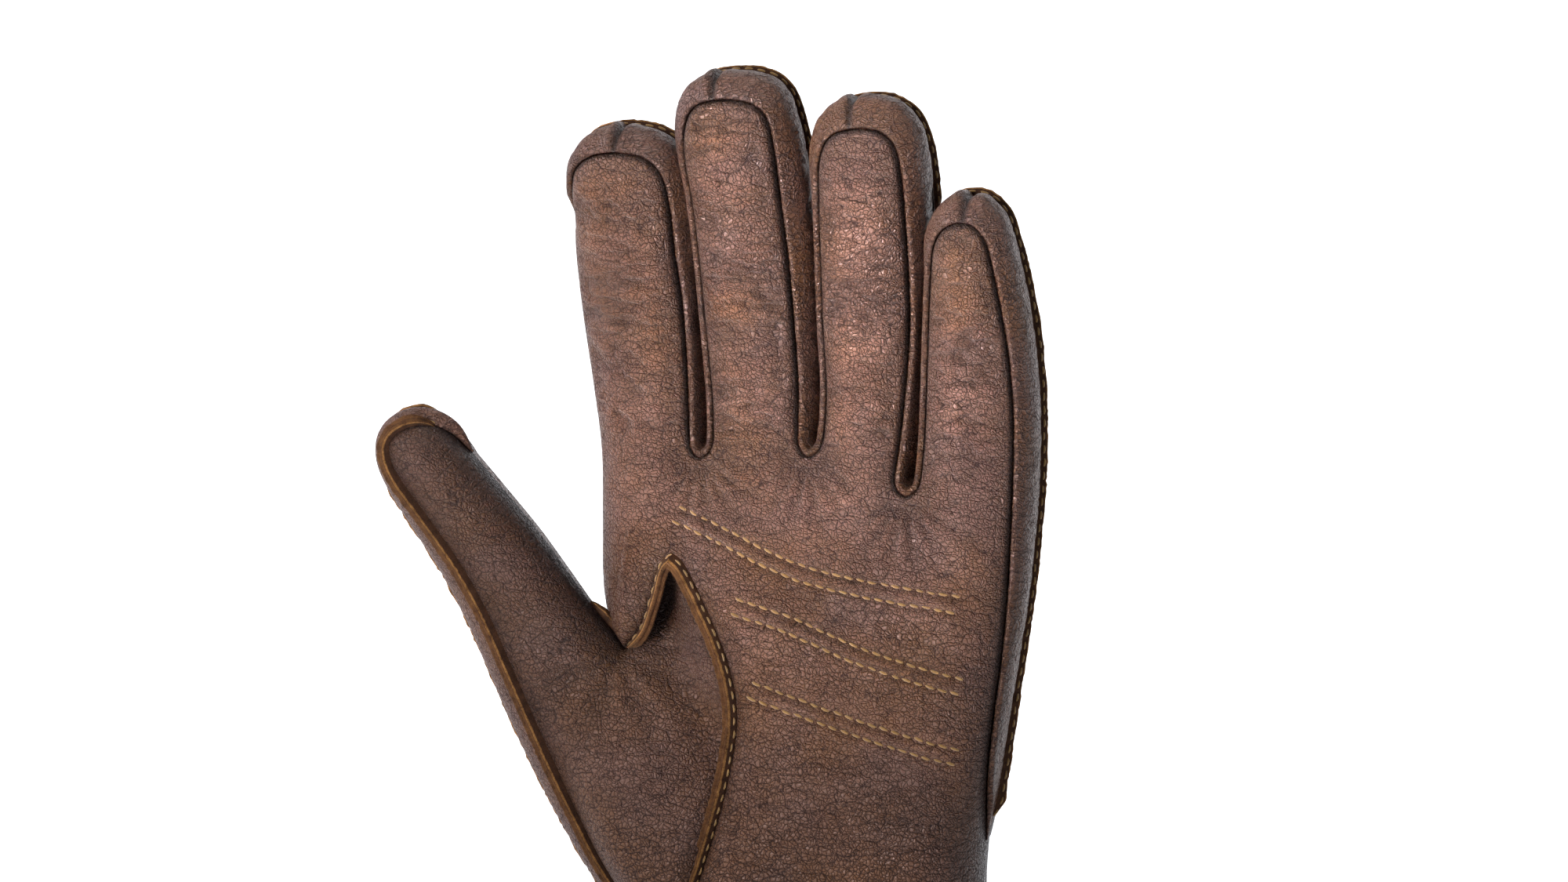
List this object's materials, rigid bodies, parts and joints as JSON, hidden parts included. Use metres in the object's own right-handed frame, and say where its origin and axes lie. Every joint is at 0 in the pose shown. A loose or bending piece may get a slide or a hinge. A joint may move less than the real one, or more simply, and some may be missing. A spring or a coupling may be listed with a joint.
{
  "type": "touchscreen gloves",
  "caption": "Left-hand touchscreen glove in lined leather, with stitched tucks across the palm, piped finger seams and an inset thumb; fingers and thumb bend.",
  "frame": {"origin": "centre of the cuff opening, in the plane of the hem's edge", "axes": "+Z from the cuff to the fingertips, -Y out of the palm, +Y out of the back of the hand, -X towards the thumb, +X towards the little finger"},
  "size_m": [0.1451, 0.0592, 0.2467],
  "materials": {
    "brown_leather": "pebbled satin",
    "fleece_lining": "soft brushed knit",
    "conductive_fabric": "woven with conductive yarn",
    "gold_thread": "twisted thread",
    "elastic": "woven elastic tape"
  },
  "bodies": {
    "hand": {"back_panel": "brown_leather", "crotch_gussets": "brown_leather", "cuff_hem": "brown_leather", "finger_base_folds": "brown_leather", "hand_lining": "fleece_lining", "inner_side_strip": "brown_leather", "outer_side_strip": "brown_leather", "palm_panel": "brown_leather", "palm_stitching": "gold_thread", "thumb_base_fold": "brown_leather", "thumb_root_back": "brown_leather", "thumb_root_front": "brown_leather", "wrist_elastic": "elastic"},
    "index_lower": {"index_back_lower": "brown_leather", "index_front_lower": "brown_leather", "index_lining_lower": "fleece_lining", "index_middle_fold": "brown_leather", "index_side_strips_lower": "brown_leather"},
    "index_upper": {"index_back_upper": "brown_leather", "index_front_upper": "brown_leather", "index_lining_upper": "fleece_lining", "index_side_strips_upper": "brown_leather", "index_touch_patch": "conductive_fabric"},
    "middle_lower": {"middle_back_lower": "brown_leather", "middle_front_lower": "brown_leather", "middle_lining_lower": "fleece_lining", "middle_middle_fold": "brown_leather", "middle_side_strips_lower": "brown_leather"},
    "middle_upper": {"middle_back_upper": "brown_leather", "middle_front_upper": "brown_leather", "middle_lining_upper": "fleece_lining", "middle_side_strips_upper": "brown_leather"},
    "ring_lower": {"ring_back_lower": "brown_leather", "ring_front_lower": "brown_leather", "ring_lining_lower": "fleece_lining", "ring_middle_fold": "brown_leather", "ring_side_strips_lower": "brown_leather"},
    "ring_upper": {"ring_back_upper": "brown_leather", "ring_front_upper": "brown_leather", "ring_lining_upper": "fleece_lining", "ring_side_strips_upper": "brown_leather"},
    "little_lower": {"little_back_lower": "brown_leather", "little_front_lower": "brown_leather", "little_lining_lower": "fleece_lining", "little_middle_fold": "brown_leather", "little_side_strips_lower": "brown_leather"},
    "little_upper": {"little_back_upper": "brown_leather", "little_front_upper": "brown_leather", "little_lining_upper": "fleece_lining", "little_side_strips_upper": "brown_leather"},
    "thumb_lower": {"thumb_back_lower": "brown_leather", "thumb_front_lower": "brown_leather", "thumb_lining_lower": "fleece_lining", "thumb_middle_fold": "brown_leather", "thumb_side_strips_lower": "brown_leather"},
    "thumb_upper": {"thumb_back_upper": "brown_leather", "thumb_front_upper": "brown_leather", "thumb_lining_upper": "fleece_lining", "thumb_side_strips_upper": "brown_leather", "thumb_touch_patch": "conductive_fabric"}
  },
  "joints": [
    {"name": "index_base_bend", "type": "hinge", "parent": "hand", "child": "index_lower", "pos_m": [-0.0383, 0, 0.168], "axis": [1, 0, 0], "range_deg": [-5, 60], "stiffness_Nm_per_rad": 0.05, "deforming": ["finger_base_folds"]},
    {"name": "index_middle_bend", "type": "hinge", "parent": "index_lower", "child": "index_upper", "pos_m": [-0.04168, -0.00187, 0.19472], "axis": [1, 0, 0], "range_deg": [-12, 70], "stiffness_Nm_per_rad": 0.05, "deforming": ["index_middle_fold"]},
    {"name": "middle_base_bend", "type": "hinge", "parent": "hand", "child": "middle_lower", "pos_m": [-0.0132, 0, 0.168], "axis": [1, 0, 0], "range_deg": [-5, 60], "stiffness_Nm_per_rad": 0.05, "deforming": ["finger_base_folds"]},
    {"name": "middle_middle_bend", "type": "hinge", "parent": "middle_lower", "child": "middle_upper", "pos_m": [-0.01581, -0.00209, 0.19781], "axis": [1, 0, 0], "range_deg": [-12, 70], "stiffness_Nm_per_rad": 0.05, "deforming": ["middle_middle_fold"]},
    {"name": "ring_base_bend", "type": "hinge", "parent": "hand", "child": "ring_lower", "pos_m": [0.01, 0, 0.168], "axis": [1, 0, 0], "range_deg": [-5, 60], "stiffness_Nm_per_rad": 0.05, "deforming": ["finger_base_folds"]},
    {"name": "ring_middle_bend", "type": "hinge", "parent": "ring_lower", "child": "ring_upper", "pos_m": [0.01, -0.00202, 0.19693], "axis": [1, 0, 0], "range_deg": [-12, 70], "stiffness_Nm_per_rad": 0.05, "deforming": ["ring_middle_fold"]},
    {"name": "little_base_bend", "type": "hinge", "parent": "hand", "child": "little_lower", "pos_m": [0.0356, 0, 0.162], "axis": [1, 0, 0], "range_deg": [-5, 60], "stiffness_Nm_per_rad": 0.05, "deforming": ["finger_base_folds"]},
    {"name": "little_middle_bend", "type": "hinge", "parent": "little_lower", "child": "little_upper", "pos_m": [0.03528, -0.0016, 0.18494], "axis": [1, 0, 0], "range_deg": [-12, 70], "stiffness_Nm_per_rad": 0.05, "deforming": ["little_middle_fold"]},
    {"name": "thumb_base_bend", "type": "hinge", "parent": "hand", "child": "thumb_lower", "pos_m": [-0.06, -0.0105, 0.116], "axis": [0.8297, 0.2428, 0.5026], "range_deg": [-5, 40], "stiffness_Nm_per_rad": 0.05, "deforming": ["thumb_base_fold"]},
    {"name": "thumb_middle_bend", "type": "hinge", "parent": "thumb_lower", "child": "thumb_upper", "pos_m": [-0.07127, -0.01491, 0.13673], "axis": [0.8297, 0.2428, 0.5026], "range_deg": [-12, 50], "stiffness_Nm_per_rad": 0.05, "deforming": ["thumb_middle_fold"]}
  ]
}
